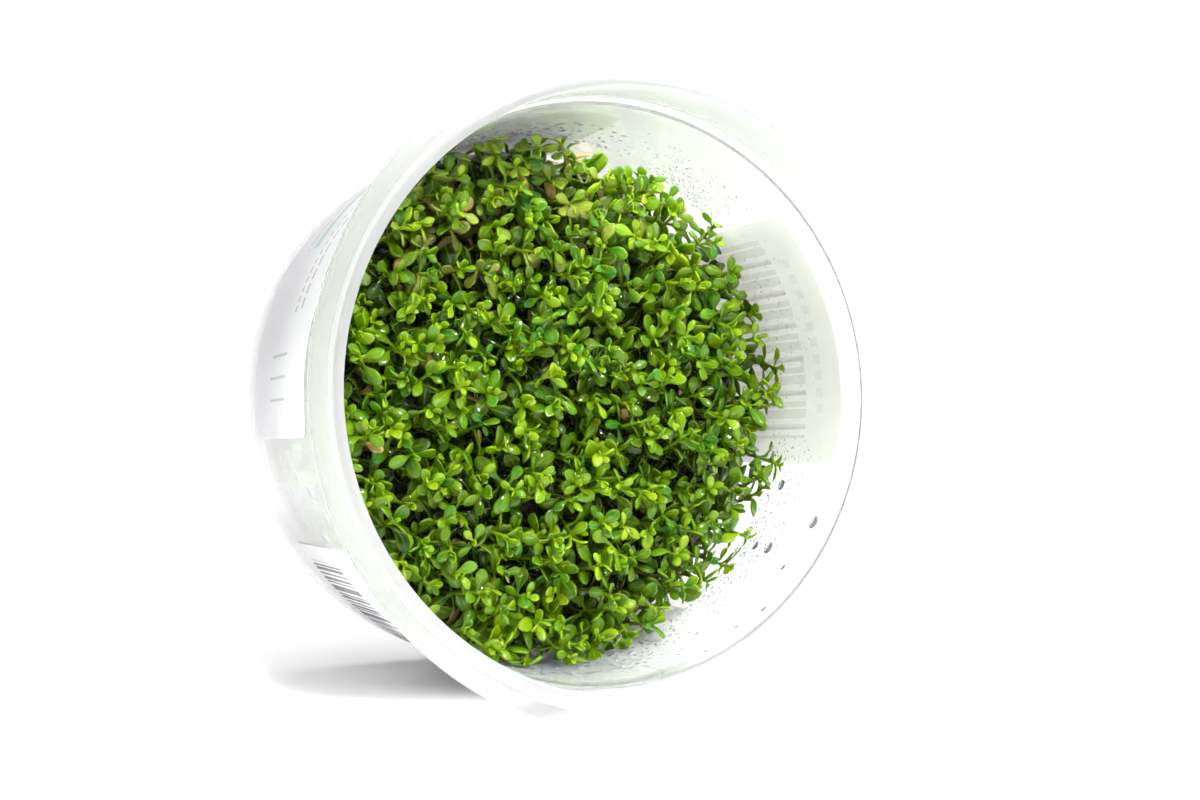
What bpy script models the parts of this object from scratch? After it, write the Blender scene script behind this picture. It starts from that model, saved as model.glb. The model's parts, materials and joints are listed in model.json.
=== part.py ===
"""Waterwort plants growing on gel in a clear round tub that lies on its side.

The tub's own axis is +Z while its pieces are modelled, with the outer face of its base at
height 0 and its mouth at the top. An empty then lays the tub down: it rests on the edge of
its rim and on the corner of its base, and its mouth faces -Y and a little upwards. The origin
is at the middle of the whole object's underside.
"""

import math
import random

import bmesh
import bpy
from mathutils import Matrix, Vector

MM = 0.001

# Driving dimensions of the tub, in metres
TUB_HEIGHT = 66.5 * MM
RIM_RADIUS = 50.4 * MM
MOUTH_RADIUS = 45.0 * MM
BASE_RADIUS = 40.2 * MM
STEP_RADIUS = 44.7 * MM
STEP_HEIGHT = 50.8 * MM
WALL = 0.9 * MM
FLOOR = 1.0 * MM
RIM_DROP = 1.2 * MM
BASE_CORNER = 1.6 * MM
TUB_SIDES = 56

# What lies in the tub and on it
CLEARANCE = 0.3 * MM
GEL_TOP = 12.0 * MM
GEL_SLUMP = 1.6 * MM
LABEL_GAP = 0.2 * MM
LABEL_THICKNESS = 0.2 * MM
LABEL_LOW = 9.5 * MM
LABEL_HIGH = 44.3 * MM
LABEL_CORNER = 3.0 * MM
LABEL_SPANS = {
    "front_label": (76.0, 185.0),
    "side_label": (-16.8, 37.0),
    "lower_label": (209.0, 304.5),
}

# The plants, as tufts that stand side by side on the gel
TUFT_COUNT = 42
TUFT_SIDES = 6
CANOPY_HEIGHT = 31.0 * MM
CANOPY_DROP = 4.4 * MM
CANOPY_SLANT = 2.8 * MM
CANOPY_SLANT_ANGLE = math.radians(40.0)
CANOPY_UNEVEN = 1.1 * MM
STEMS_HEIGHT = 22.0 * MM
STEMS_DROP = 6.0 * MM
STEMS_SLANT = 2.0 * MM
STEMS_SLANT_ANGLE = math.radians(106.0)
STEM_RADIUS = 1.3 * MM
LEAF_WIDTH = 4.0 * MM
LEAF_THICKNESS = 0.9 * MM
TUFT_GAP = 0.35 * MM


def clear_scene():
    for thing in list(bpy.data.objects):
        bpy.data.objects.remove(thing, do_unlink=True)


def make_material(name, colour, roughness, alpha=1.0):
    material = bpy.data.materials.new(name)
    material.use_nodes = True
    shader = material.node_tree.nodes["Principled BSDF"]
    shader.inputs["Base Color"].default_value = (*colour, 1.0)
    shader.inputs["Roughness"].default_value = roughness
    shader.inputs["Metallic"].default_value = 0.0
    shader.inputs["Alpha"].default_value = alpha
    return material


def add_object(name, mesh_data, material, parent):
    mesh = bpy.data.meshes.new(name)
    mesh_data.to_mesh(mesh)
    mesh_data.free()
    mesh.materials.append(material)
    piece = bpy.data.objects.new(name, mesh)
    bpy.context.scene.collection.objects.link(piece)
    piece.parent = parent
    return piece


def smooth(piece, angle_degrees):
    piece.data.shade_smooth()
    piece.data.set_sharp_from_angle(angle=math.radians(angle_degrees))


def wall_radius(height):
    """Outer radius of the tapered wall below the step."""
    rise = (height - BASE_CORNER) / (STEP_HEIGHT - BASE_CORNER)
    return BASE_RADIUS + (STEP_RADIUS - BASE_RADIUS) * rise


def inside_radius(height):
    return wall_radius(height) - WALL


def turned(profile, sides):
    """Closed body of revolution from (radius, height) points, from axis to axis."""
    body = bmesh.new()
    half_step = math.pi / sides
    verts = [
        body.verts.new((radius * math.cos(half_step), radius * math.sin(half_step), height))
        for radius, height in profile
    ]
    edges = [body.edges.new(pair) for pair in zip(verts, verts[1:])]
    bmesh.ops.spin(
        body,
        geom=verts + edges,
        axis=(0.0, 0.0, 1.0),
        cent=(0.0, 0.0, 0.0),
        angle=2.0 * math.pi,
        steps=sides,
        use_merge=True,
    )
    bmesh.ops.remove_doubles(body, verts=body.verts, dist=0.001 * MM)
    bmesh.ops.recalc_face_normals(body, faces=body.faces)
    return body


def tub_profile():
    """Up the outside from the base, over the rim and lip, and down the inside."""
    rim_under = TUB_HEIGHT - RIM_DROP
    band_outer = MOUTH_RADIUS + WALL + 0.2 * MM
    outside = [
        (0.0, 0.0),
        (BASE_RADIUS - 2.0 * MM, 0.0),
        (BASE_RADIUS - 0.6 * MM, 0.5 * MM),
        (BASE_RADIUS, BASE_CORNER),
        (STEP_RADIUS, STEP_HEIGHT),
        (STEP_RADIUS + WALL, STEP_HEIGHT + 1.2 * MM),
        (band_outer, rim_under - 0.4 * MM),
        (band_outer + 0.6 * MM, rim_under - 0.1 * MM),
        (RIM_RADIUS, rim_under),
    ]
    rim_and_lip = [
        (RIM_RADIUS, TUB_HEIGHT - 0.4 * MM),
        (RIM_RADIUS - 0.3 * MM, TUB_HEIGHT - 0.2 * MM),
        (MOUTH_RADIUS + 2.2 * MM, TUB_HEIGHT - 0.4 * MM),
        (MOUTH_RADIUS + 1.3 * MM, TUB_HEIGHT),
        (MOUTH_RADIUS + 0.3 * MM, TUB_HEIGHT),
        (MOUTH_RADIUS, TUB_HEIGHT - 0.3 * MM),
    ]
    inside = [
        (STEP_RADIUS + 0.1 * MM, STEP_HEIGHT + 1.4 * MM),
        (inside_radius(STEP_HEIGHT), STEP_HEIGHT + 0.1 * MM),
        (inside_radius(2.8 * MM), 2.8 * MM),
        (inside_radius(2.8 * MM) - 0.6 * MM, FLOOR + 0.5 * MM),
        (inside_radius(2.8 * MM) - 1.9 * MM, FLOOR),
        (0.0, FLOOR),
    ]
    return outside + rim_and_lip + inside


def make_tub(material, parent):
    piece = add_object("tub", turned(tub_profile(), TUB_SIDES), material, parent)
    smooth(piece, 30.0)


def slump(side):
    """How much deeper the gel is towards the side that the tub lies on."""
    return -GEL_SLUMP * side / inside_radius(GEL_TOP)


def make_gel(material, parent):
    low = FLOOR + CLEARANCE
    foot = inside_radius(2.8 * MM) - 2.2 * MM
    edge = inside_radius(GEL_TOP - GEL_SLUMP) - CLEARANCE
    profile = [
        (0.0, low),
        (foot, low),
        (inside_radius(3.6 * MM) - CLEARANCE, 3.6 * MM),
        (edge, GEL_TOP),
        (edge - 1.6 * MM, GEL_TOP - 0.7 * MM),
        (0.0, GEL_TOP - 0.7 * MM),
    ]
    body = turned(profile, TUB_SIDES)
    for vert in body.verts:
        if vert.co.z > 0.5 * GEL_TOP:
            vert.co.z += slump(vert.co.y)
    piece = add_object("gel", body, material, parent)
    smooth(piece, 30.0)


def make_label(name, span_degrees, material, parent):
    """Paper sheet with rounded corners, cut flat and then bent round the wall."""
    start, end = (math.radians(angle) for angle in span_degrees)
    radius = wall_radius(0.5 * (LABEL_LOW + LABEL_HIGH))
    width = (end - start) * radius
    height = LABEL_HIGH - LABEL_LOW
    columns = round((end - start) / (2.0 * math.pi) * TUB_SIDES)
    sheet = bmesh.new()
    bmesh.ops.create_grid(sheet, x_segments=columns, y_segments=1, size=0.5)
    bmesh.ops.scale(sheet, verts=sheet.verts, vec=(width, height, 1.0))
    corners = [
        vert for vert in sheet.verts
        if abs(vert.co.x) > 0.499 * width and abs(vert.co.y) > 0.499 * height
    ]
    bmesh.ops.bevel(
        sheet,
        geom=corners,
        offset=LABEL_CORNER,
        offset_type="OFFSET",
        affect="VERTICES",
        segments=3,
        profile=0.5,
        material=-1,
        clamp_overlap=True,
    )
    back = bmesh.ops.extrude_face_region(sheet, geom=sheet.faces[:])
    raised = [item for item in back["geom"] if isinstance(item, bmesh.types.BMVert)]
    bmesh.ops.translate(sheet, verts=raised, vec=(0.0, 0.0, LABEL_THICKNESS))
    for vert in sheet.verts:
        tub_height = LABEL_LOW + 0.5 * height + vert.co.y
        angle = 0.5 * (start + end) + vert.co.x / radius
        distance = wall_radius(tub_height) + LABEL_GAP + vert.co.z
        vert.co = (distance * math.cos(angle), distance * math.sin(angle), tub_height)
    bmesh.ops.recalc_face_normals(sheet, faces=sheet.faces)
    piece = add_object(name, sheet, material, parent)
    smooth(piece, 30.0)


def tuft_places():
    """Even spread over the gel, as the seeds of a sunflower head lie."""
    golden_angle = math.pi * (3.0 - math.sqrt(5.0))
    outermost = inside_radius(GEL_TOP) - 3.6 * MM
    places = []
    for index in range(TUFT_COUNT):
        distance = outermost * math.sqrt((index + 0.5) / (TUFT_COUNT - 0.5))
        angle = index * golden_angle
        places.append(Vector((distance * math.cos(angle), distance * math.sin(angle))))
    return places


def domed(place, middle, drop, slant, slant_angle):
    """Height of a top that is tallest in the middle, and lowest towards one side."""
    share = (place.length / inside_radius(GEL_TOP)) ** 2
    angle = math.atan2(place.y, place.x)
    return middle - (drop + slant * math.cos(angle - slant_angle)) * share


def canopy_height(place):
    return domed(place, CANOPY_HEIGHT, CANOPY_DROP, CANOPY_SLANT, CANOPY_SLANT_ANGLE)


def stems_height(place):
    return domed(place, STEMS_HEIGHT, STEMS_DROP, STEMS_SLANT, STEMS_SLANT_ANGLE)


def reach(place, angle, others):
    """How far a tuft may spread from its place before it meets a neighbour or the wall."""
    direction = Vector((math.cos(angle), math.sin(angle)))
    along = place.dot(direction)
    limit = inside_radius(GEL_TOP) - TUFT_GAP
    nearest = -along + math.sqrt(along * along - place.length_squared + limit * limit)
    for other in others:
        apart = other - place
        facing = apart.normalized().dot(direction)
        if facing > 0.01:
            nearest = min(nearest, (0.5 * apart.length - 0.5 * TUFT_GAP) / facing)
    return nearest


def grow_leaf(tuft, face, place, angle, spread, rise):
    """Two extrusions of a face of the stems: out to the blade's middle, then to its tip."""
    outward = Vector((math.cos(angle), math.sin(angle), 0.0))
    side = Vector((-outward.y, outward.x, 0.0))
    start_height = face.calc_center_median().z
    stations = (
        (0.66, 0.70, LEAF_WIDTH, LEAF_THICKNESS),
        (1.00, 1.00, 0.35 * LEAF_WIDTH, 0.5 * LEAF_THICKNESS),
    )
    for share_out, share_up, width, thickness in stations:
        middle = face.calc_center_median()
        sides = {vert: math.copysign(1.0, (vert.co - middle).dot(side)) for vert in face.verts}
        levels = {vert: math.copysign(1.0, vert.co.z - middle.z) for vert in face.verts}
        target = Vector((place.x, place.y, start_height + rise * share_up))
        target += outward * spread * share_out
        old_verts = list(face.verts)
        made = bmesh.ops.extrude_discrete_faces(tuft, faces=[face])
        face = made["faces"][0]
        for old, new in zip(old_verts, face.verts):
            half_width = 0.5 * width * sides[old]
            half_thickness = 0.5 * thickness * levels[old]
            new.co = target + side * half_width + Vector((0.0, 0.0, half_thickness))


def tuft_ring(tuft, place, others, turn, share, radius, height):
    """One level of a tuft: a share of the room that it has, or a plain radius if that is less."""
    ring = []
    for number in range(TUFT_SIDES):
        angle = turn + (number - 0.5) * 2.0 * math.pi / TUFT_SIDES
        distance = min(share * reach(place, angle, others), radius)
        x = place.x + distance * math.cos(angle)
        y = place.y + distance * math.sin(angle)
        ring.append(tuft.verts.new((x, y, height)))
    return ring


def make_tuft(index, places, material, parent):
    """Crowded stems, and over them one shoot with leaves all round at two levels."""
    dice = random.Random(100 + index)
    place = places[index]
    others = places[:index] + places[index + 1:]
    top = canopy_height(place) + dice.uniform(-1.0, 1.0) * CANOPY_UNEVEN
    turn = dice.uniform(0.0, 2.0 * math.pi)
    levels = (
        (0.82, RIM_RADIUS, GEL_TOP + CLEARANCE),
        (0.95, RIM_RADIUS, stems_height(place)),
        (1.00, STEM_RADIUS, stems_height(place) + 1.4 * MM),
        (1.00, STEM_RADIUS, top - 5.4 * MM),
        (1.00, STEM_RADIUS, top - 3.4 * MM),
        (1.00, 0.7 * STEM_RADIUS, top - 1.4 * MM),
    )
    tuft = bmesh.new()
    loops = [tuft_ring(tuft, place, others, turn, *level) for level in levels]
    for vert in loops[0]:
        vert.co.z += slump(vert.co.y)
    tuft.faces.new(list(reversed(loops[0])))
    tuft.faces.new(loops[-1])
    bands = []
    for lower, upper in zip(loops, loops[1:]):
        band = []
        for number in range(TUFT_SIDES):
            following = (number + 1) % TUFT_SIDES
            band.append(tuft.faces.new(
                (lower[number], lower[following], upper[following], upper[number])
            ))
        bands.append(band)
    for number in range(TUFT_SIDES):
        angle = turn + number * 2.0 * math.pi / TUFT_SIDES
        upper_leaf = number % 2
        room = reach(place, angle, others) - 0.2 * MM
        spread = (0.78 if upper_leaf else 0.98) * room
        rise = (1.9 if upper_leaf else 2.2) * MM
        face = bands[4][number] if upper_leaf else bands[3][number]
        grow_leaf(tuft, face, place, angle, spread, rise)
    bmesh.ops.recalc_face_normals(tuft, faces=tuft.faces)
    piece = add_object(f"plant_{index + 1:02d}", tuft, material, parent)
    smooth(piece, 40.0)


def lie_down():
    """The tub tips until its rim's edge and its base's corner are level."""
    rim_edge = TUB_HEIGHT - RIM_DROP
    tilt = math.atan2(RIM_RADIUS - BASE_RADIUS, rim_edge - BASE_CORNER)
    flat = math.cos(math.pi / TUB_SIDES)
    turn = Matrix.Rotation(0.5 * math.pi - tilt, 4, "X")
    outline = [
        turn @ Vector((0.0, side * radius * flat, height))
        for radius, height in tub_profile()
        for side in (-1.0, 1.0)
    ]
    low = min(point.z for point in outline)
    middle = 0.5 * (min(point.y for point in outline) + max(point.y for point in outline))
    axis = bpy.data.objects.new("tub_axis", None)
    bpy.context.scene.collection.objects.link(axis)
    axis.matrix_world = Matrix.Translation((0.0, -middle, -low)) @ turn
    return axis


def main():
    clear_scene()
    axis = lie_down()
    clear_plastic = make_material("clear_plastic", (0.93, 0.95, 0.96), 0.12, 0.35)
    gel = make_material("gel", (0.74, 0.70, 0.68), 0.25, 0.8)
    paper = make_material("paper", (0.90, 0.90, 0.91), 0.6)
    leaf = make_material("leaf", (0.22, 0.47, 0.03), 0.35)
    make_tub(clear_plastic, axis)
    make_gel(gel, axis)
    for name, span in LABEL_SPANS.items():
        make_label(name, span, paper, axis)
    places = tuft_places()
    for index in range(TUFT_COUNT):
        make_tuft(index, places, leaf, axis)
    bpy.context.view_layer.update()


main()
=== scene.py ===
import json
import math
import random

import bmesh
import bpy
from mathutils import Matrix, Vector, noise


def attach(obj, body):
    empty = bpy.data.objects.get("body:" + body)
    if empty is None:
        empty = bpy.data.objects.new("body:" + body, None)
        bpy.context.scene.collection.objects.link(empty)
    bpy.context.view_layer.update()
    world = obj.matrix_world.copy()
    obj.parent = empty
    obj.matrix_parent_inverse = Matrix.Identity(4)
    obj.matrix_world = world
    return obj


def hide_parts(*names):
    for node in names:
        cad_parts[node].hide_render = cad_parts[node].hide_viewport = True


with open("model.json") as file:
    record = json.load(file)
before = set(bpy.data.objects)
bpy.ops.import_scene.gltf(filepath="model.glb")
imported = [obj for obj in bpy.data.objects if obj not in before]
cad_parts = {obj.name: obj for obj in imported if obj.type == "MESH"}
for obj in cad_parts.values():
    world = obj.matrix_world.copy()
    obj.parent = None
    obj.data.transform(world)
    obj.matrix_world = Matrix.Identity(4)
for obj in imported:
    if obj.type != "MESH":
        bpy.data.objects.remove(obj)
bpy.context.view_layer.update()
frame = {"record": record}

scene = bpy.context.scene
mm = 0.001

# The pieces are made upright in millimetres, with the tub's base at height 0,
# and laid down on the CAD model's base mount when they are finished.
baseMount = next(mount for mount in frame["record"]["mounts"] if mount["name"] == "base")
tubUp = -Vector(baseMount["axis"]).normalized()
tubRight = Vector((1.0, 0.0, 0.0))
tubBack = tubUp.cross(tubRight)
layDown = Matrix((tubRight, tubBack, tubUp)).transposed().to_4x4()
layDown.translation = Vector(baseMount["pos_m"])
layDown = layDown @ Matrix.Scale(mm, 4)

tub = {
    "height": 66.5,
    "baseRadius": 40.2,
    "cornerHeight": 1.6,
    "stepRadius": 44.7,
    "stepHeight": 50.8,
    "wall": 0.9,
    "steps": 224,
    # radius, height and rounding of each corner, from under the base round to the floor inside
    "outline": (
        (0.0, 0.45, 0.0),
        (33.4, 0.45, 0.3),
        (34.1, 0.0, 0.3),
        (40.05, 0.0, 1.5),
        (44.65, 50.6, 1.3),
        (45.6, 52.3, 1.3),
        (46.1, 64.6, 0.6),
        (50.35, 65.35, 0.2),
        (50.35, 66.1, 0.3),
        (47.6, 66.0, 0.8),
        (46.8, 65.8, 0.6),
        (46.2, 66.5, 0.35),
        (45.1, 66.5, 0.4),
        (44.75, 52.5, 1.3),
        (43.8, 50.8, 1.3),
        (39.25, 1.0, 2.0),
        (0.0, 1.0, 0.0),
    ),
    "cornerSteps": 4,
    # the band above the step turns cloudy within this height, and the lip is cloudier still
    "frostRise": 2.0,
    "lipRadius": 47.2,
    "lipDepth": 1.0,
    "lipFrost": 3.0,
    # the mist inside the wall: its lowest and highest place, how it fades and how cloudy it is
    "mist": (18.0, 48.5),
    "mistFade": 1.0,
    "mistFrost": 1.3,
}


def wallRadius(height):
    rise = (height - tub["cornerHeight"]) / (tub["stepHeight"] - tub["cornerHeight"])
    return tub["baseRadius"] + (tub["stepRadius"] - tub["baseRadius"]) * rise


def insideRadius(height):
    # the band above the step is wider; everything in the tub keeps to the wall under it
    if height > tub["stepHeight"]:
        return tub["stepRadius"] + 0.1
    return wallRadius(height) - tub["wall"]


def finishPiece(name, shape, material, sharpAngle=None):
    shape.transform(layDown)
    mesh = bpy.data.meshes.new(name)
    shape.to_mesh(mesh)
    shape.free()
    mesh.materials.append(material)
    mesh.shade_smooth()
    if sharpAngle:
        mesh.set_sharp_from_angle(angle=math.radians(sharpAngle))
    piece = bpy.data.objects.new(name, mesh)
    scene.collection.objects.link(piece)
    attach(piece, "root")
    return piece


def roundedOutline(corners, steps):
    points = []
    for index, (radius, height, rounding) in enumerate(corners):
        here = Vector((radius, height))
        if not rounding:
            points.append(here)
            continue
        before = (Vector(corners[index - 1][:2]) - here).normalized()
        after = (Vector(corners[index + 1][:2]) - here).normalized()
        half = 0.5 * before.angle(after)
        reach = min(rounding / math.tan(half), 6.0 * rounding)
        start, end = here + before * reach, here + after * reach
        for step in range(steps + 1):
            share = step / steps
            bend = start.lerp(here, share).lerp(here.lerp(end, share), share)
            points.append(bend)
    return points


def spinOutline(points, steps):
    shape = bmesh.new()
    ends = [shape.verts.new((radius, 0.0, height)) for radius, height in points]
    edges = [shape.edges.new(pair) for pair in zip(ends, ends[1:])]
    bmesh.ops.spin(
        shape, geom=ends + edges, axis=(0, 0, 1), cent=(0, 0, 0),
        angle=2 * math.pi, steps=steps, use_merge=True,
    )
    bmesh.ops.remove_doubles(shape, verts=shape.verts, dist=0.0005)
    bmesh.ops.recalc_face_normals(shape, faces=shape.faces)
    return shape


def mergeInto(whole, part):
    # small shapes are grown apart and merged, which is much quicker than growing in a large one
    mesh = bpy.data.meshes.new("part")
    part.to_mesh(mesh)
    part.free()
    whole.from_mesh(mesh)
    bpy.data.meshes.remove(mesh)


# Camera first, at the photograph's viewing angle

camera = {
    "lens": 122.5,
    "distance": 600.0,
    "fromLeft": 22.15,
    "above": 7.88,
    "aimRight": -5.35,
    "aimUp": -1.29,
}


def makeCamera():
    side, rise = math.radians(camera["fromLeft"]), math.radians(camera["above"])
    forward = Vector((
        math.sin(side) * math.cos(rise), math.cos(side) * math.cos(rise), -math.sin(rise),
    ))
    right = Vector((math.cos(side), -math.sin(side), 0.0))
    up = right.cross(forward)
    aim = layDown @ Vector((0.0, 0.0, tub["height"]))
    aim += (right * camera["aimRight"] + up * camera["aimUp"]) * mm
    data = bpy.data.cameras.new("photoCamera")
    data.lens = camera["lens"]
    data.sensor_width = 36.0
    data.clip_start, data.clip_end = 0.02, 40.0
    thing = bpy.data.objects.new("photoCamera", data)
    scene.collection.objects.link(thing)
    thing.location = aim - forward * camera["distance"] * mm
    thing.rotation_mode = "QUATERNION"
    thing.rotation_quaternion = forward.to_track_quat("-Z", "Y")
    scene.camera = thing


makeCamera()
print("camera placed")


# Node helpers and the effects that several materials share

def addNode(tree, kind, inputs=None, **settings):
    node = tree.nodes.new(kind)
    for name, value in settings.items():
        setattr(node, name, value)
    for name, value in (inputs or {}).items():
        socket = node.inputs[name]
        if isinstance(value, bpy.types.NodeSocket):
            tree.links.new(value, socket)
        else:
            socket.default_value = value
    return node


def mathNode(tree, operation, first, second=0.0, third=0.0):
    inputs = {0: first, 1: second}
    if operation in ("MULTIPLY_ADD", "COMPARE", "SMOOTH_MIN"):
        inputs[2] = third
    return addNode(tree, "ShaderNodeMath", inputs, operation=operation).outputs[0]


def mixColours(tree, mask, first, second, blend="MIX"):
    # sockets 0, 6 and 7 are a colour mix's factor and its two colours
    inputs = {0: mask, 6: first, 7: second}
    return addNode(
        tree, "ShaderNodeMix", inputs, data_type="RGBA", blend_type=blend,
    ).outputs[2]


def mixNumbers(tree, share, first, second):
    inputs = {0: share, 2: first, 3: second}
    return addNode(tree, "ShaderNodeMix", inputs, data_type="FLOAT").outputs[0]


def mapRange(tree, value, low, high, toLow=0.0, toHigh=1.0):
    node = addNode(tree, "ShaderNodeMapRange", {
        "Value": value, "From Min": low, "From Max": high, "To Min": toLow, "To Max": toHigh,
    })
    return node.outputs[0]


def newGroup(name, inputs, outputs):
    group = bpy.data.node_groups.new(name, "ShaderNodeTree")
    for socketName, kind, value in inputs:
        socket = group.interface.new_socket(name=socketName, in_out="INPUT", socket_type=kind)
        if value is not None:
            socket.default_value = value
    for socketName, kind in outputs:
        group.interface.new_socket(name=socketName, in_out="OUTPUT", socket_type=kind)
    given = group.nodes.new("NodeGroupInput").outputs
    result = group.nodes.new("NodeGroupOutput").inputs
    return group, given, result


def mottleGroup():
    group, given, result = newGroup(
        "mottle",
        (
            ("Vector", "NodeSocketVector", None),
            ("Scale", "NodeSocketFloat", 400.0),
            ("Light", "NodeSocketColor", (0.8, 0.8, 0.8, 1.0)),
            ("Dark", "NodeSocketColor", (0.2, 0.2, 0.2, 1.0)),
            ("Middle", "NodeSocketFloat", 0.5),
            ("Contrast", "NodeSocketFloat", 4.0),
        ),
        (("Color", "NodeSocketColor"), ("Mask", "NodeSocketFloat")),
    )
    cloud = addNode(group, "ShaderNodeTexNoise", {
        "Vector": given["Vector"], "Scale": given["Scale"], "Detail": 4.0, "Roughness": 0.6,
    }).outputs["Fac"]
    offset = mathNode(group, "SUBTRACT", cloud, given["Middle"])
    mask = mathNode(group, "MULTIPLY_ADD", offset, given["Contrast"], 0.5)
    mask = addNode(group, "ShaderNodeClamp", {"Value": mask}).outputs[0]
    group.links.new(mixColours(group, mask, given["Dark"], given["Light"]), result["Color"])
    group.links.new(mask, result["Mask"])
    return group


def grainGroup():
    group, given, result = newGroup(
        "grain",
        (
            ("Vector", "NodeSocketVector", None),
            ("Scale", "NodeSocketFloat", 900.0),
            ("Rough Low", "NodeSocketFloat", 0.1),
            ("Rough High", "NodeSocketFloat", 0.3),
        ),
        (("Roughness", "NodeSocketFloat"), ("Height", "NodeSocketFloat")),
    )
    broad = addNode(group, "ShaderNodeTexNoise", {
        "Vector": given["Vector"], "Scale": given["Scale"], "Detail": 5.0, "Roughness": 0.65,
    }).outputs["Fac"]
    fineScale = mathNode(group, "MULTIPLY", given["Scale"], 6.0)
    fine = addNode(group, "ShaderNodeTexNoise", {
        "Vector": given["Vector"], "Scale": fineScale, "Detail": 2.0,
    }).outputs["Fac"]
    both = mathNode(group, "MULTIPLY_ADD", fine, 0.35, mathNode(group, "MULTIPLY", broad, 0.65))
    spread = mathNode(group, "SUBTRACT", given["Rough High"], given["Rough Low"])
    rough = mathNode(group, "MULTIPLY_ADD", both, spread, given["Rough Low"])
    group.links.new(rough, result["Roughness"])
    group.links.new(both, result["Height"])
    return group


def bandGroup():
    # a window on the label's UV map, filled with equal bars across its length
    group, given, result = newGroup(
        "band",
        (
            ("Along", "NodeSocketFloat", 0.0),
            ("Across", "NodeSocketFloat", 0.0),
            ("Start", "NodeSocketFloat", 0.0),
            ("End", "NodeSocketFloat", 10.0),
            ("Low", "NodeSocketFloat", 0.0),
            ("High", "NodeSocketFloat", 10.0),
            ("Pitch", "NodeSocketFloat", 1.0),
            ("Fill", "NodeSocketFloat", 0.5),
        ),
        (("Mask", "NodeSocketFloat"),),
    )
    share = mathNode(group, "DIVIDE", given["Along"], given["Pitch"])
    bars = mathNode(group, "LESS_THAN", mathNode(group, "FRACT", share), given["Fill"])
    tests = (
        mathNode(group, "GREATER_THAN", given["Along"], given["Start"]),
        mathNode(group, "LESS_THAN", given["Along"], given["End"]),
        mathNode(group, "GREATER_THAN", given["Across"], given["Low"]),
        mathNode(group, "LESS_THAN", given["Across"], given["High"]),
    )
    for test in tests:
        bars = mathNode(group, "MULTIPLY", bars, test)
    group.links.new(bars, result["Mask"])
    return group


shared = {"mottle": mottleGroup(), "grain": grainGroup(), "band": bandGroup()}


def newMaterial(name, settings):
    material = bpy.data.materials.new(name)
    material.use_nodes = True
    tree = material.node_tree
    shader = tree.nodes["Principled BSDF"]
    for socket, value in settings.items():
        shader.inputs[socket].default_value = value
    return material, tree, shader


def useGroup(tree, name, inputs):
    return addNode(tree, "ShaderNodeGroup", inputs, node_tree=shared[name])


def objectCoords(tree):
    return addNode(tree, "ShaderNodeTexCoord").outputs["Object"]


def attributeValue(tree, name):
    return addNode(tree, "ShaderNodeAttribute", attribute_name=name).outputs["Fac"]


def addGrain(tree, shader, where, look, roughMask=None):
    # the fine grain of a finish drives its roughness and bump; a mask may roughen some of it more
    grain = useGroup(tree, "grain", {
        "Vector": where, "Scale": look["grainScale"],
        "Rough Low": look["rough"][0], "Rough High": look["rough"][1],
    })
    rough = grain.outputs["Roughness"]
    if roughMask is not None:
        rough = mathNode(tree, "MULTIPLY_ADD", roughMask, look["maskRough"], rough)
    tree.links.new(rough, shader.inputs["Roughness"])
    if "bump" in look:
        distance, strength = look["bump"]
        bump = addNode(tree, "ShaderNodeBump", {
            "Height": grain.outputs["Height"], "Distance": distance, "Strength": strength,
        })
        tree.links.new(bump.outputs["Normal"], shader.inputs["Normal"])


def letLampsThrough(tree, shader, tint):
    # the lamps' light passes the clear piece, which Cycles would otherwise stop
    clear = addNode(tree, "ShaderNodeBsdfTransparent", {"Color": tint})
    path = addNode(tree, "ShaderNodeLightPath")
    both = addNode(tree, "ShaderNodeMixShader", {0: path.outputs["Is Shadow Ray"]})
    tree.links.new(shader.outputs["BSDF"], both.inputs[1])
    tree.links.new(clear.outputs["BSDF"], both.inputs[2])
    tree.links.new(both.outputs["Shader"], tree.nodes["Material Output"].inputs["Surface"])


plasticLook = {
    "light": (1.0, 1.0, 1.0, 1.0),
    "dark": (0.978, 0.984, 0.984, 1.0),
    "lampTint": (0.93, 0.94, 0.94, 1.0),
    "grainScale": 130.0,
    "rough": (0.03, 0.11),
    "maskRough": 0.14,
    "bump": (0.00008, 0.12),
}


def clearPlasticMaterial():
    material, tree, shader = newMaterial("clearPlastic", {
        "Transmission Weight": 0.92,
        "IOR": 1.42,
    })
    where = objectCoords(tree)
    # the band at the mouth and its lip are cloudier than the wall, which is misted inside
    frost = attributeValue(tree, "frost")
    addGrain(tree, shader, where, plasticLook, frost)
    tint = useGroup(tree, "mottle", {
        "Vector": where, "Scale": 90.0, "Contrast": 2.0,
        "Light": plasticLook["light"], "Dark": plasticLook["dark"],
    })
    tree.links.new(tint.outputs["Color"], shader.inputs["Base Color"])
    letLampsThrough(tree, shader, plasticLook["lampTint"])
    return material


waterLook = {
    # painted shade: the clear water is given a grey colour so that the drops look darker
    "colour": (0.64, 0.66, 0.68, 1.0),
    "lampTint": (0.9, 0.91, 0.92, 1.0),
    "grainScale": 1500.0,
    "rough": (0.0, 0.04),
}


def waterMaterial():
    material, tree, shader = newMaterial("waterDrops", {
        "Base Color": waterLook["colour"],
        "Transmission Weight": 1.0,
        "IOR": 1.33,
    })
    addGrain(tree, shader, objectCoords(tree), waterLook)
    letLampsThrough(tree, shader, waterLook["lampTint"])
    return material


gelLook = {
    "light": (0.68, 0.66, 0.64, 1.0),
    "dark": (0.44, 0.42, 0.39, 1.0),
    "crumb": (0.52, 0.43, 0.33, 1.0),
    # painted shade: near-black colours for the gel's top in the plants' shadow
    "paintedShadeLight": (0.0032, 0.0034, 0.0010, 1.0),
    "paintedShadeDark": (0.0005, 0.0008, 0.0002, 1.0),
    "lampTint": (0.55, 0.54, 0.54, 1.0),
    "grainScale": 500.0,
    "rough": (0.06, 0.24),
    "bump": (0.00015, 0.15),
}


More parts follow.
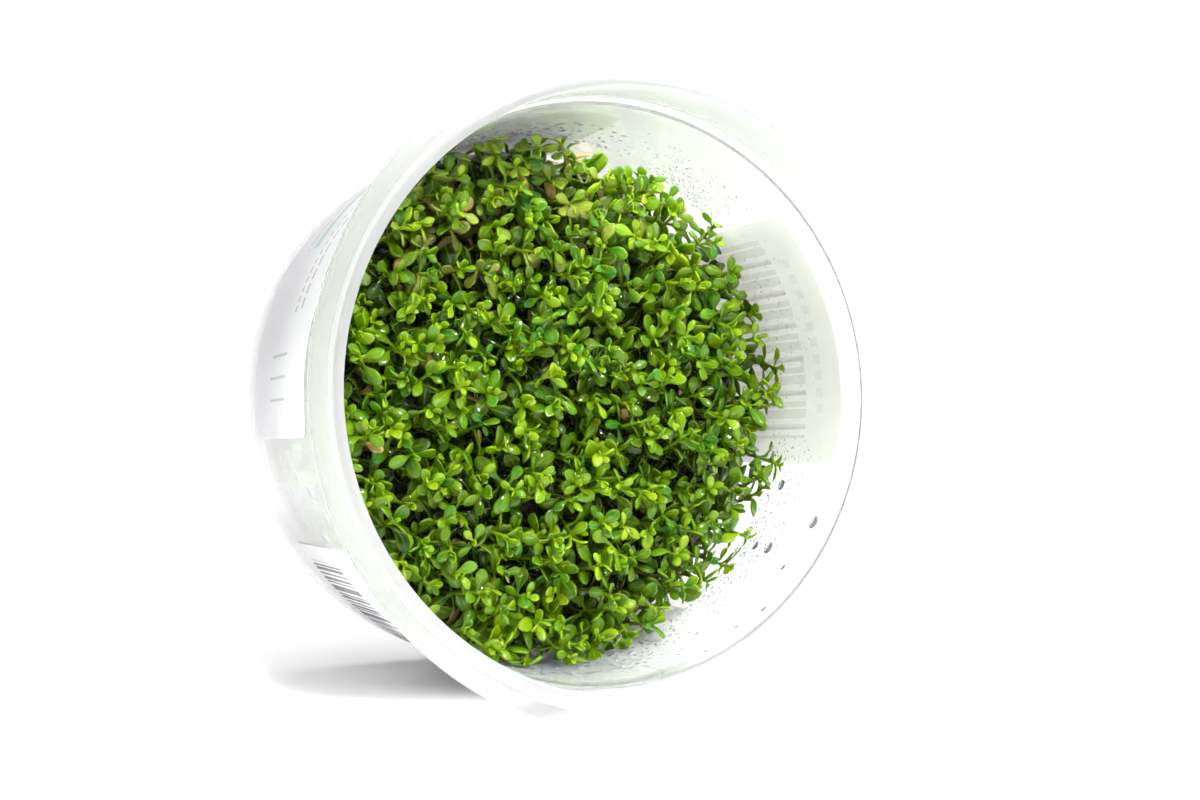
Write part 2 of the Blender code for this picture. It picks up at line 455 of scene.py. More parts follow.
def gelMaterial():
    material, tree, shader = newMaterial("cloudyGel", {
        "Transmission Weight": 0.55,
        "IOR": 1.34,
        "Subsurface Weight": 0.4,
        "Subsurface Radius": (1.0, 0.85, 0.8),
        "Subsurface Scale": 0.003,
    })
    where = objectCoords(tree)
    cloud = useGroup(tree, "mottle", {
        "Vector": where, "Scale": 160.0, "Contrast": 3.0,
        "Light": gelLook["light"], "Dark": gelLook["dark"],
    })
    crumbs = useGroup(tree, "mottle", {
        "Vector": where, "Scale": 700.0, "Middle": 0.66, "Contrast": 2.5,
    })
    colour = mixColours(
        tree, crumbs.outputs["Mask"], cloud.outputs["Color"], gelLook["crumb"],
    )
    # painted shade: the gel's top under the plants is given a near-black colour for the shadow
    # the plants cast on it
    paintedShadeColour = useGroup(tree, "mottle", {
        "Vector": where, "Scale": 500.0, "Contrast": 3.0,
        "Light": gelLook["paintedShadeLight"], "Dark": gelLook["paintedShadeDark"],
    })
    colour = mixColours(tree, attributeValue(tree, "paintedShade"), colour, paintedShadeColour.outputs["Color"])
    tree.links.new(colour, shader.inputs["Base Color"])
    addGrain(tree, shader, where, gelLook)
    letLampsThrough(tree, shader, gelLook["lampTint"])
    return material


paperLook = {
    "light": (0.96, 0.96, 0.97, 1.0),
    "dark": (0.91, 0.91, 0.92, 1.0),
    "printInside": 0.34,     # how strongly the print shows on the glued side
    "grainScale": 1400.0,
    "rough": (0.42, 0.62),
    "bump": (0.00003, 0.5),
}


def paperMaterial(name, prints, gluedTintAndShade):
    # the UV map is in millimetres along and across the label, and "face" is 1 on its outer side
    material, tree, shader = newMaterial(name, {
        "IOR": 1.45,
        "Subsurface Weight": 0.9,
        "Subsurface Radius": (1.0, 1.0, 0.9),
        "Subsurface Scale": 0.0015,
    })
    where = objectCoords(tree)
    placed = addNode(tree, "ShaderNodeSeparateXYZ", {
        "Vector": addNode(tree, "ShaderNodeUVMap", uv_map="labelUV").outputs["UV"],
    })
    fibre = useGroup(tree, "mottle", {
        "Vector": where, "Scale": 1800.0, "Contrast": 1.6,
        "Light": paperLook["light"], "Dark": paperLook["dark"],
    })
    outside = attributeValue(tree, "face")
    show = mapRange(tree, outside, 0.0, 1.0, paperLook["printInside"], 1.0)
    colour = fibre.outputs["Color"]
    for ink, start, end, low, high, pitch, fill in prints:
        band = useGroup(tree, "band", {
            "Along": placed.outputs["X"], "Across": placed.outputs["Y"], "Start": start,
            "End": end, "Low": low, "High": high, "Pitch": pitch, "Fill": fill,
        })
        mask = mathNode(tree, "MULTIPLY", band.outputs["Mask"], show)
        colour = mixColours(tree, mask, colour, (*ink, 1.0))
    # the inner side is tinted partly by the glue and partly with painted shade, darker on the
    # side and lower labels
    gluedAndShaded = mixColours(tree, outside, (*gluedTintAndShade, 1.0), (1.0, 1.0, 1.0, 1.0))
    colour = mixColours(tree, 1.0, colour, gluedAndShaded, "MULTIPLY")
    tree.links.new(colour, shader.inputs["Base Color"])
    addGrain(tree, shader, where, paperLook)
    return material


leafLook = {
    # painted shade: the near-black green for old leaves low in the canopy, standing for the shade
    # there
    "deep": (0.004, 0.014, 0.001, 1.0),
    "fresh": (0.155, 0.325, 0.001, 1.0),
    "emerald": (0.030, 0.250, 0.012, 1.0),
    "pale": (0.35, 0.49, 0.008, 1.0),
    "dry": (0.56, 0.43, 0.14, 1.0),
    "rotten": (0.30, 0.16, 0.04, 1.0),
    "vein": (0.26, 0.42, 0.02, 1.0),
    "speckLight": (1.06, 1.04, 1.0, 1.0),
    "speckDark": (0.86, 0.88, 0.8, 1.0),
    "grainScale": 1600.0,
    "rough": (0.10, 0.32),
    "maskRough": 0.4,
    "bump": (0.00012, 0.6),
}


def leafMaterial():
    # leafUV runs 0 to 1 from stem to tip and 0 to 1 across; tone 0 is an old leaf low in the
    # canopy, painted near-black as shade, and 1 is a young one, and dry 1 is withered
    material, tree, shader = newMaterial("waterwortLeaf", {
        "IOR": 1.45,
        "Specular IOR Level": 0.12,
        "Coat Weight": 0.7,
        "Coat Roughness": 0.05,
        "Subsurface Weight": 0.3,
        "Subsurface Radius": (0.7, 1.0, 0.1),
        "Subsurface Scale": 0.0006,
    })
    where = objectCoords(tree)
    onLeaf = addNode(tree, "ShaderNodeSeparateXYZ", {
        "Vector": addNode(tree, "ShaderNodeUVMap", uv_map="leafUV").outputs["UV"],
    })
    tone, dry = attributeValue(tree, "tone"), attributeValue(tree, "dry")
    patches = useGroup(tree, "mottle", {
        "Vector": where, "Scale": 210.0, "Middle": 0.57, "Contrast": 7.0,
        "Light": leafLook["emerald"], "Dark": leafLook["fresh"],
    })
    # painted shade: leaves of low tone are mixed towards the near-black green
    body = mixColours(tree, tone, leafLook["deep"], patches.outputs["Color"])
    cells = useGroup(tree, "mottle", {"Vector": where, "Scale": 900.0, "Contrast": 1.8})
    young = mapRange(tree, tone, 0.80, 1.0)
    paleCells = mapRange(tree, cells.outputs["Mask"], 0.0, 1.0, 0.25, 0.9)
    paleShare = mathNode(tree, "MULTIPLY", young, paleCells)
    body = mixColours(tree, paleShare, body, leafLook["pale"])
    middle = mathNode(tree, "ABSOLUTE", mathNode(tree, "SUBTRACT", onLeaf.outputs["Y"], 0.5))
    vein = mapRange(tree, middle, 0.09, 0.0, 0.0, 0.55)
    vein = mathNode(tree, "MULTIPLY", vein, mapRange(tree, onLeaf.outputs["X"], 0.95, 0.5))
    body = mixColours(tree, vein, body, leafLook["vein"])
    # painted light: the leaf's edges are mixed towards the pale green, for light shining through
    # its rims
    edge = mapRange(tree, middle, 0.34, 0.5, 0.0, 0.35)
    body = mixColours(tree, edge, body, leafLook["pale"])
    speck = useGroup(tree, "mottle", {
        "Vector": where, "Scale": 2600.0, "Contrast": 2.5,
        "Light": leafLook["speckLight"], "Dark": leafLook["speckDark"],
    })
    body = mixColours(tree, 1.0, body, speck.outputs["Color"], "MULTIPLY")
    withered = mixColours(tree, cells.outputs["Mask"], leafLook["dry"], leafLook["rotten"])
    body = mixColours(tree, dry, body, withered)
    tree.links.new(body, shader.inputs["Base Color"])
    addGrain(tree, shader, where, leafLook, dry)
    return material


rootLook = {
    "light": (0.80, 0.74, 0.60, 1.0),
    "dark": (0.50, 0.40, 0.26, 1.0),
    "grainScale": 2200.0,
    "rough": (0.35, 0.6),
    "bump": (0.0001, 0.5),
}


def rootMaterial():
    material, tree, shader = newMaterial("paleRoot", {
        "Subsurface Weight": 0.3,
        "Subsurface Radius": (1.0, 0.8, 0.5),
        "Subsurface Scale": 0.0005,
    })
    where = objectCoords(tree)
    colour = useGroup(tree, "mottle", {
        "Vector": where, "Scale": 700.0, "Contrast": 3.0,
        "Light": rootLook["light"], "Dark": rootLook["dark"],
    })
    tree.links.new(colour.outputs["Color"], shader.inputs["Base Color"])
    addGrain(tree, shader, where, rootLook)
    return material


clearPlastic = clearPlasticMaterial()
water = waterMaterial()
cloudyGel = gelMaterial()
leafGreen = leafMaterial()
rootPale = rootMaterial()
print("materials made")


# The tub

def makeTub():
    points = roundedOutline(tub["outline"], tub["cornerSteps"])
    shape = spinOutline(points, tub["steps"])
    # rings across the inner wall, which carry the mist
    lowMist, highMist = tub["mist"]
    for height in (lowMist + tub["mistFade"], highMist - tub["mistFade"]):
        bmesh.ops.bisect_plane(
            shape, geom=shape.verts[:] + shape.edges[:] + shape.faces[:], dist=0.0005,
            plane_co=(0.0, 0.0, height), plane_no=(0.0, 0.0, 1.0),
        )
    frostLayer = shape.verts.layers.float.new("frost")
    for vert in shape.verts:
        radius, height = math.hypot(vert.co.x, vert.co.y), vert.co.z
        rise = (height - tub["stepHeight"]) / tub["frostRise"]
        vert[frostLayer] = min(1.0, max(0.0, rise))
        if height > tub["height"] - tub["lipDepth"] and radius < tub["lipRadius"]:
            vert[frostLayer] = tub["lipFrost"]
        isInside = radius < wallRadius(height) - 0.5 * tub["wall"]
        if lowMist < height < highMist and isInside:
            # it is thicker at the top and the bottom of the wall than at its sides
            vert[frostLayer] = tub["mistFrost"] * abs(vert.co.y / radius) ** 3
    piece = finishPiece("tubShell", shape, clearPlastic, 40.0)
    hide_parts("tub")


makeTub()
print("tub made")


# The gel that the plants root in

gel = {
    "top": 12.0,
    "dip": 0.7,
    "slump": 1.6,
    "gap": 0.12,
    "steps": 128,
    "rings": 10,
    # radius and height of its foot on the tub's floor, and the heights of the rings up its side
    "foot": ((0.0, 1.15), (20.0, 1.15), (36.9, 1.15), (38.2, 1.6), (38.9, 2.4)),
    "sideHeights": (3.4, 5.5, 8.0, 10.0),
    # how far in from the wall and down from the top the creep up the wall goes
    "creep": ((0.0, 0.0), (0.5, 0.35), (1.1, 0.6)),
    "flatFrom": 1.7,
    "slumpFrom": 8.5,
    # the gel's top above this height and this far in from its edge is painted with shade
    "paintedShadeFrom": 10.5,
    "paintedShadeGap": 0.8,
    "lumpHeight": 0.35,
    "lumpScale": 0.22,
    "lumpGap": 1.0,
    "hollowDepth": 0.25,
    "hollowScale": 0.35,
    "hollowFrom": (30.0, 1.3),
}


def gelTop(y):
    return gel["top"] - gel["dip"] - gel["slump"] * y / insideRadius(gel["top"])


def makeGel():
    edge = insideRadius(gel["top"] - gel["slump"]) - gel["gap"]
    top, flat = gel["top"], gel["top"] - gel["dip"]
    side = [(insideRadius(height) - gel["gap"], height) for height in gel["sideHeights"]]
    creep = [(edge - inward, top - down) for inward, down in gel["creep"]]
    reach, count = edge - gel["flatFrom"], gel["rings"]
    rings = [(reach - reach * ring / count, flat) for ring in range(count + 1)]
    shape = spinOutline([*gel["foot"], *side, *creep, *rings], gel["steps"])
    paintedShadeLayer = shape.verts.layers.float.new("paintedShade")
    hollowRadius, hollowHeight = gel["hollowFrom"]
    for vert in shape.verts:
        x, y, z = vert.co
        radius = math.hypot(x, y)
        # the gel's top under the plants is marked for painted shade
        if z > gel["paintedShadeFrom"] and radius < edge - gel["paintedShadeGap"]:
            vert[paintedShadeLayer] = 1.0
        if z > gel["slumpFrom"]:
            vert.co.z -= gel["slump"] * y / insideRadius(top)
            if radius < edge - gel["lumpGap"]:
                lump = noise.noise(Vector((x, y, 0.0)) * gel["lumpScale"])
                vert.co.z += gel["lumpHeight"] * lump
        elif radius > hollowRadius and z > hollowHeight:
            hollow = noise.noise(Vector((x, y, z)) * gel["hollowScale"])
            vert.co.xy *= 1.0 - gel["hollowDepth"] * max(0.0, hollow) / radius
    piece = finishPiece("gelBed", shape, cloudyGel, 50.0)
    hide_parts("gel")


makeGel()
print("gel made")


# The paper labels round the wall

labels = {
    "low": 9.5,
    "high": 44.3,
    "corner": 3.0,
    "gap": 0.03,
    "thickness": 0.14,
    "columnWidth": 1.0,
    "rows": 12,
    "spans": {
        "front_label": (76.0, 185.0),
        "side_label": (-16.8, 37.0),
        "lower_label": (209.0, 304.5),
    },
    # the inner sides' tints: partly glue and partly painted shade, darker where less light
    # reaches a label's inner side
    "gluedTintAndShade": {
        "front_label": (1.0, 1.0, 0.94),
        "side_label": (0.73, 0.75, 0.65),
        "lower_label": (0.86, 0.88, 0.78),
    },
}
greyInk, darkInk, greenInk = (0.40, 0.41, 0.42), (0.11, 0.11, 0.12), (0.42, 0.60, 0.50)
# ink, start and end along, low and high across, pitch and filled share of the bars
labelPrints = {
    "front_label": (
        (greyInk, 9.0, 62.0, 24.6, 25.9, 2.3, 0.72),
        (greyInk, 15.0, 62.0, 21.0, 22.0, 1.6, 0.62),
        (greenInk, 20.0, 50.0, 12.5, 16.0, 40.0, 1.0),
        (greyInk, 20.0, 50.0, 8.6, 9.3, 3.1, 0.8),
        (greyInk, 66.0, 76.0, 12.0, 22.0, 3.4, 0.12),
    ),
    "side_label": (
        (darkInk, 4.0, 37.0, 6.0, 24.0, 1.8, 0.5),
        (darkInk, 4.0, 37.0, 6.0, 24.0, 2.7, 0.2),
        (greyInk, 7.0, 34.0, 27.0, 29.2, 2.6, 0.55),
    ),
    "lower_label": (
        (darkInk, 3.0, 34.0, 5.0, 22.0, 0.9, 0.42),
        (darkInk, 3.0, 34.0, 5.0, 22.0, 2.1, 0.30),
        (greyInk, 40.0, 68.0, 24.0, 25.4, 2.4, 0.7),
        (greyInk, 40.0, 64.0, 19.0, 20.2, 2.0, 0.7),
        (greyInk, 40.0, 68.0, 14.0, 15.2, 2.7, 0.7),
    ),
}


def makeLabel(node, span):
    start, end = (math.radians(angle) for angle in span)
    radius = wallRadius(0.5 * (labels["low"] + labels["high"]))
    width, height = (end - start) * radius, labels["high"] - labels["low"]
    sheet = bmesh.new()
    bmesh.ops.create_grid(sheet, x_segments=1, y_segments=1, size=0.5)
    bmesh.ops.scale(sheet, verts=sheet.verts, vec=(width, height, 1.0))
    bmesh.ops.bevel(
        sheet, geom=sheet.verts[:], offset=labels["corner"], offset_type="OFFSET",
        affect="VERTICES", segments=6, profile=0.5, material=-1, clamp_overlap=True,
    )
    for count, size, axis in (
        (round(width / labels["columnWidth"]), width, Vector((1, 0, 0))),
        (labels["rows"], height, Vector((0, 1, 0))),
    ):
        for cut in range(1, count):
            bmesh.ops.bisect_plane(
                sheet, geom=sheet.verts[:] + sheet.edges[:] + sheet.faces[:], dist=0.001,
                plane_co=axis * size * (cut / count - 0.5), plane_no=axis,
            )
    uvLayer = sheet.loops.layers.uv.new("labelUV")
    faceLayer = sheet.verts.layers.float.new("face")
    for face in sheet.faces:
        for loop in face.loops:
            loop[uvLayer].uv = (loop.vert.co.x + 0.5 * width, loop.vert.co.y + 0.5 * height)
    made = bmesh.ops.extrude_face_region(sheet, geom=sheet.faces[:])
    raised = [item for item in made["geom"] if isinstance(item, bmesh.types.BMVert)]
    bmesh.ops.translate(sheet, verts=raised, vec=(0.0, 0.0, labels["thickness"]))
    for vert in raised:
        vert[faceLayer] = 1.0
    for vert in sheet.verts:
        tubHeight = labels["low"] + 0.5 * height + vert.co.y
        angle = 0.5 * (start + end) + vert.co.x / radius
        distance = wallRadius(tubHeight) + labels["gap"] + vert.co.z
        vert.co = (distance * math.cos(angle), distance * math.sin(angle), tubHeight)
    bmesh.ops.recalc_face_normals(sheet, faces=sheet.faces)
    paper = paperMaterial(node + "Paper", labelPrints[node], labels["gluedTintAndShade"][node])
    piece = finishPiece(node.replace("_", "") + "Sheet", sheet, paper, 40.0)
    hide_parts(node)


for node, span in labels["spans"].items():
    makeLabel(node, span)
print("labels made")


# One leaf, in several growths, each about fifty faces

leaf = {
    "growths": 14,
    "stalk": (0.8, 1.9),
    "blade": (2.5, 3.6),
    "width": (1.6, 2.35),
    "thickness": 0.62,
    "cup": (-0.35, 0.45),
    # the leaf's rise in degrees where it starts and at its tip
    "lifts": ((5.0, 45.0), (-60.0, 10.0)),
    "twist": 0.5,
    "sway": 0.10,
    # share of the stalk or blade, width share and thickness share at each station along it
    "stalkStations": ((0.0, 0.27, 1.0), (0.55, 0.21, 0.95)),
    "bladeStations": (
        (0.0, 0.30, 0.8), (0.22, 0.66, 0.9), (0.46, 0.97, 1.0),
        (0.70, 0.95, 0.95), (0.90, 0.62, 0.8), (1.0, 0.24, 0.5),
    ),
}
# the ring of points round a leaf: place across, height on its thickness, and how far it cups
leafRing = (
    (0.5, 0.0, 1.0), (0.35, 0.42, 0.50), (0.0, 0.16, 0.0), (-0.35, 0.42, 0.50),
    (-0.5, 0.0, 1.0), (-0.31, -0.34, 0.40), (0.0, -0.55, 0.0), (0.31, -0.34, 0.40),
)


def makeLeafGrowth(dice):
    stalk, blade = dice.uniform(*leaf["stalk"]), dice.uniform(*leaf["blade"])
    width, cup = dice.uniform(*leaf["width"]), dice.uniform(*leaf["cup"])
    lift = [math.radians(dice.uniform(*span)) for span in leaf["lifts"]]
    twist = dice.uniform(-leaf["twist"], leaf["twist"])
    sway = dice.uniform(-leaf["sway"], leaf["sway"])
    length = stalk + blade
    stations = [(share * stalk, wide, thick) for share, wide, thick in leaf["stalkStations"]]
    for share, wide, thick in leaf["bladeStations"]:
        stations.append((stalk + share * blade, wide, thick))
    shape = bmesh.new()
    bmesh.ops.create_circle(shape, cap_ends=True, segments=8, radius=1.0)
    uvLayer = shape.loops.layers.uv.new("leafUV")
    shape.faces.ensure_lookup_table()
    face = shape.faces[0]
    places, along = {}, 0.0
    spot = Vector((0.0, 0.0, 0.0))
    for index, (distance, wide, thick) in enumerate(stations):
        share = distance / length
        angle = lift[0] + (lift[1] - lift[0]) * share
        heading = Vector((math.cos(angle), 0.0, math.sin(angle)))
        spot = spot + heading * (distance - along)
        along = distance
        if index:
            made = bmesh.ops.extrude_discrete_faces(shape, faces=[face])
            face = made["faces"][0]
        roll = Matrix.Rotation(twist * share, 3, "X")
        upward = Vector((-heading.z, 0.0, heading.x))
        isBlade = min(1.0, max(0.0, (distance - 0.6 * stalk) / blade))
        for number, vert in enumerate(face.verts):
            across, height, cupping = leafRing[number]
            flat = Vector((0.0, across * width * wide, 0.0))
            flat.z = height * leaf["thickness"] * thick + cup * cupping * wide * isBlade
            flat = roll @ flat
            aside = flat.y + sway * blade * share * share
            vert.co = spot + Vector((0.0, aside, 0.0)) + upward * flat.z
            places[vert] = (share, across + 0.5)
    for each in shape.faces:
        for loop in each.loops:
            loop[uvLayer].uv = places[loop.vert]
    bmesh.ops.recalc_face_normals(shape, faces=shape.faces)
    mesh = bpy.data.meshes.new("leafGrowth")
    shape.to_mesh(mesh)
    shape.free()
    return mesh


leafDice = random.Random(7)
leafGrowths = [makeLeafGrowth(leafDice) for _ in range(leaf["growths"])]
print("leaf growths made")


# The plants: shoots over the whole gel, gathered into the tufts of the CAD model

plants = {
    "tufts": 42,
    "tuftInset": 3.6,
    "shoots": 350,
    "edgeGap": 1.2,
    "jitter": 0.8,
    # shoots this near the wall count as wall shoots, which are seen from the side
    "wallBand": 9.0,
    "middleHeight": 31.0,
    "edgeDrop": 2.6,
    "slant": 2.2,
    "slantAngle": 25.0,
    "uneven": (-3.2, 0.9),
    "wallUneven": 2.6,
    # shoots stand lower in patches, which leaves dark hollows between the others
    "hollowScale": 0.17,
    "hollowDepth": 15.0,
    "hollowSpan": (0.12, 0.45),
    "footDepth": 0.8,
    "stemRadius": 0.40,
    "stemTaper": 0.36,
    "stemSteps": 7,
    "stemTone": (0.70, 0.3),
    "bow": (0.2, 1.1),
    "lean": 4.6,
    "outward": 0.192,
    # distance below the shoot's tip, leaf size and rise above level for each pair of leaves
    "pairs": (
        (0.2, 0.62, 66.0), (1.2, 0.86, 46.0), (2.7, 1.0, 32.0), (4.5, 1.04, 20.0),
        (6.5, 1.04, 10.0), (8.8, 1.0, 2.0), (11.2, 0.96, -4.0), (13.8, 0.9, -8.0),
    ),
    "backSpread": (0.85, 1.2),
    "sizeSpread": (0.78, 1.18),
    "turnSpread": 18.0,
    "aimSpread": 0.25,
    "riseSpread": 30.0,
    "rollSpread": 1.0,
    "gelClearance": 1.2,
    "hiddenPairs": 7,
    # leaves are whole and fresh on the first pairs; the later ones may be missing or dry
    "soundPairs": 2,
    "missingShare": 0.06,
    # each pair down the stem is this much darker in tone, partly for its age and partly as
    # painted shade deeper in the canopy, with a spread for shoots and leaves
    "ageAndShadePerPair": 0.19,
    "wallAgeAndShadePerPair": 0.11,
    "vigourSpread": 0.4,
    "toneSpread": 0.14,
    "dryShare": 0.02,
    # near the top of the tub more leaves are dry, and others have begun to fade
    "nearTop": (20.0, 20.0),
    "dryTopShare": 0.07,
    "fadedTopShare": 0.3,
    "fadedTone": 0.25,
    "wallGap": 0.12,
    "wallSoftness": 0.7,
}


def sunflower(count, outermost, index):
    distance = outermost * math.sqrt((index + 0.5) / (count - 0.5))
    angle = index * math.pi * (3.0 - math.sqrt(5.0))
    return Vector((distance * math.cos(angle), distance * math.sin(angle)))


def canopyTop(place):
    share = (place.length / insideRadius(gel["top"])) ** 2
    angle = math.atan2(place.y, place.x) - math.radians(plants["slantAngle"])
    drop = plants["edgeDrop"] + plants["slant"] * math.cos(angle)
    return plants["middleHeight"] - drop * share


def stemPath(foot, tip, bow, sway):
    points = []
    for step in range(plants["stemSteps"] + 1):
        share = step / plants["stemSteps"]
        point = foot.lerp(tip, share) + bow * math.sin(math.pi * share) + sway * share ** 3
        points.append(point)
    return points


def pointOn(path, back):
    # the place and direction at a distance back from the path's end
    for upper, lower in zip(reversed(path), reversed(path[:-1])):
        piece = (upper - lower).length
        if back <= piece:
            return upper.lerp(lower, back / piece), (upper - lower).normalized()
        back -= piece
    return None, None


def growStem(shape, path, toneLayer, tone):
    made = bmesh.ops.create_circle(
        shape, cap_ends=True, segments=5, radius=plants["stemRadius"],
    )
    ring = made["verts"]
    face = next(each for each in ring[0].link_faces if len(each.verts) == 5)
    bmesh.ops.translate(shape, verts=ring, vec=path[0])
    count, narrowing = len(path) - 1, plants["stemTaper"]
    grown = list(ring)
    for index, (lower, upper) in enumerate(zip(path, path[1:]), 1):
        face = bmesh.ops.extrude_discrete_faces(shape, faces=[face])["faces"][0]
        taper = (1.0 - narrowing * index / count) / (1.0 - narrowing * (index - 1) / count)
        bmesh.ops.translate(shape, verts=face.verts, vec=upper - lower)
        for vert in face.verts:
            vert.co = upper + (vert.co - upper) * taper
        grown += list(face.verts)
    # painted shade: the stem is darker towards its foot, low in the canopy
    low, high = path[0].z, path[-1].z
    for vert in grown:
        share = max(0.0, (vert.co.z - low) / (high - low))
        vert[toneLayer] = tone * (0.1 + 0.9 * share ** 2)


def placeLeaf(shape, growth, spot, outward, upward, size, tone, dry, layers):
    side = upward.cross(outward).normalized()
    matrix = Matrix((outward, side, upward)).transposed().to_4x4()
    matrix.translation = spot
    start = len(shape.verts)
    shape.from_mesh(growth)
    shape.verts.ensure_lookup_table()
    fresh = shape.verts[start:]
    bmesh.ops.transform(shape, matrix=matrix @ Matrix.Scale(size, 4), verts=fresh)
    for vert in fresh:
        vert[layers[0]] = tone
        vert[layers[1]] = dry


def newShoot():
    shape = bmesh.new()
    layers = (
        shape.verts.layers.float.new("tone"),
        shape.verts.layers.float.new("dry"),
        shape.loops.layers.uv.new("leafUV"),
    )
    return shape, layers


def spread(dice, most):
    return dice.uniform(-most, most)


def growShoot(place, dice, isWall):
    shape, layers = newShoot()
    top = canopyTop(place) + dice.uniform(*plants["uneven"])
    if isWall:
        top -= plants["wallUneven"] * dice.random() ** 3
    else:
        patch = noise.noise(Vector((place.x, place.y, 3.0)) * plants["hollowScale"])
        least, most = plants["hollowSpan"]
        top -= plants["hollowDepth"] * min(most, max(0.0, -patch - least))
    around = math.atan2(place.y, place.x)
    away = Vector((math.cos(around), math.sin(around), 0.0))
    share = place.length / insideRadius(gel["top"])
    lean = away * plants["outward"] * (top - gel["top"]) * share ** 3
    swing = dice.uniform(0.0, 2.0 * math.pi)
    sway = Vector((math.cos(swing), math.sin(swing), 0.0)) * plants["lean"] * dice.random()
    foot = Vector((place.x, place.y, gelTop(place.y) - plants["footDepth"]))
    tip = Vector((place.x, place.y, top)) + lean
    bowAngle = dice.uniform(0.0, 2.0 * math.pi)
    bow = Vector((math.cos(bowAngle), math.sin(bowAngle), 0.0)) * dice.uniform(*plants["bow"])
    path = stemPath(foot, tip, bow, sway)
    vigour = dice.random()
    stemTone, stemSpread = plants["stemTone"]
    growStem(shape, path, layers[0], stemTone + stemSpread * vigour)
    turn = dice.uniform(0.0, 2.0 * math.pi)
    pairs = plants["pairs"] if isWall else plants["pairs"][:plants["hiddenPairs"]]
    ageAndShadePerPair = plants["wallAgeAndShadePerPair"] if isWall else plants["ageAndShadePerPair"]
    nearTop = place.y > plants["nearTop"][0] and place.x < plants["nearTop"][1]
    dryChance = plants["dryTopShare"] if nearTop else plants["dryShare"]
    for number, (back, size, rise) in enumerate(pairs):
        spot, heading = pointOn(path, back * dice.uniform(*plants["backSpread"]))
        if spot is None or spot.z < gelTop(spot.y) + plants["gelClearance"]:
            break
        isOld = number > plants["soundPairs"]
        turn += math.radians(90.0 + spread(dice, plants["turnSpread"]))
        level = heading.orthogonal().normalized()
        for half in (0.0, math.pi):
            if isOld and dice.random() < plants["missingShare"]:
                continue
            aim = turn + half + spread(dice, plants["aimSpread"])
            outward = Matrix.Rotation(aim, 3, heading) @ level
            tilt = math.radians(rise + spread(dice, plants["riseSpread"]))
            pointing = outward * math.cos(tilt) + heading * math.sin(tilt)
            facing = heading * math.cos(tilt) - outward * math.sin(tilt)
            rolled = Matrix.Rotation(spread(dice, plants["rollSpread"]), 3, pointing)
            # painted shade: each pair lower on the stem gets a darker tone, and less so on the
            # lit wall shoots
            tone = 1.0 - ageAndShadePerPair * number + plants["vigourSpread"] * (vigour - 0.6)
            tone = min(1.0, max(0.0, tone + spread(dice, plants["toneSpread"])))
            dry = 1.0 if isOld and dice.random() < dryChance else 0.0
            if nearTop and number > 0 and not dry and dice.random() < plants["fadedTopShare"]:
                dry = plants["fadedTone"]
            placeLeaf(
                shape, dice.choice(leafGrowths), spot, pointing, rolled @ facing,
                size * dice.uniform(*plants["sizeSpread"]), tone, dry, layers,
            )
    return shape


def keepInsideTub(shape):
    for vert in shape.verts:
        x, y, z = vert.co
        radius = math.hypot(x, y)
        limit = insideRadius(max(z, 3.0)) - plants["wallGap"]
        soft = plants["wallSoftness"]
        if radius > limit - soft:
            pressed = limit - soft * math.exp(-(radius - limit + soft) / soft)
            vert.co.xy *= pressed / radius


def makePlants():
    outermost = insideRadius(gel["top"])
    count, reach = plants["tufts"], outermost - plants["tuftInset"]
    tufts = [sunflower(count, reach, index) for index in range(count)]
    dice = random.Random(41)
    gathered = {index: [] for index in range(count)}
    for index in range(plants["shoots"]):
        place = sunflower(plants["shoots"], outermost - plants["edgeGap"], index)
        place += Vector((dice.uniform(-1, 1), dice.uniform(-1, 1))) * plants["jitter"]
        nearest = min(gathered, key=lambda tuft: (tufts[tuft] - place).length)
        gathered[nearest].append(place)
    total = 0
    for index, places in gathered.items():
        dice = random.Random(1000 + index)
        shape = newShoot()[0]
        for place in places:
            isWall = place.length > outermost - plants["wallBand"]
            mergeInto(shape, growShoot(place, dice, isWall))
        keepInsideTub(shape)
        total += len(shape.faces)
        node = f"plant_{index + 1:02d}"
        piece = finishPiece(f"tuft{index + 1:02d}", shape, leafGreen)
        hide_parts(node)
    print("plants made,", total, "faces")


makePlants()
for mesh in leafGrowths:
    bpy.data.meshes.remove(mesh)


# Roots in the gel

roots = {
    "count": 170,
    "steps": 7,
    "radius": (0.09, 0.2),
    "deep": (2.2, 7.0),
    "under": 0.5,
    "spreadGap": 0.9,
    "wallGap": 0.5,
    "wander": 0.7,
    "drift": 0.8,
}


def makeRoots():
    dice = random.Random(23)
    shape = bmesh.new()
    for index in range(roots["count"]):
        place = sunflower(roots["count"], insideRadius(6.0) - roots["spreadGap"], index)
        high = gelTop(place.y) - roots["under"]
        low = dice.uniform(*roots["deep"])
        made = bmesh.ops.create_circle(
            shape, cap_ends=True, segments=4, radius=dice.uniform(*roots["radius"]),
        )
        ring = made["verts"]
        face = next(each for each in ring[0].link_faces if len(each.verts) == 4)
        bmesh.ops.translate(shape, verts=ring, vec=(place.x, place.y, high))
        drift = Vector((dice.uniform(-1, 1), dice.uniform(-1, 1), 0.0))
        down = Vector((0.0, 0.0, (low - high) / roots["steps"]))
        for _ in range(roots["steps"]):
            wander = (spread(dice, roots["wander"]), spread(dice, roots["wander"]), 0.0)
            drift += Vector(wander)
            move = drift * roots["drift"] + down
            face = bmesh.ops.extrude_discrete_faces(shape, faces=[face])["faces"][0]
            bmesh.ops.translate(shape, verts=face.verts, vec=move)
    for vert in shape.verts:
        radius = math.hypot(vert.co.x, vert.co.y)
        limit = insideRadius(max(vert.co.z, 3.0)) - roots["wallGap"]
        if radius > limit:
            vert.co.xy *= limit / radius
    bmesh.ops.recalc_face_normals(shape, faces=shape.faces)
    finishPiece("roots", shape, rootPale)


makeRoots()
print("roots made")


# Water drops on the tub's inner wall

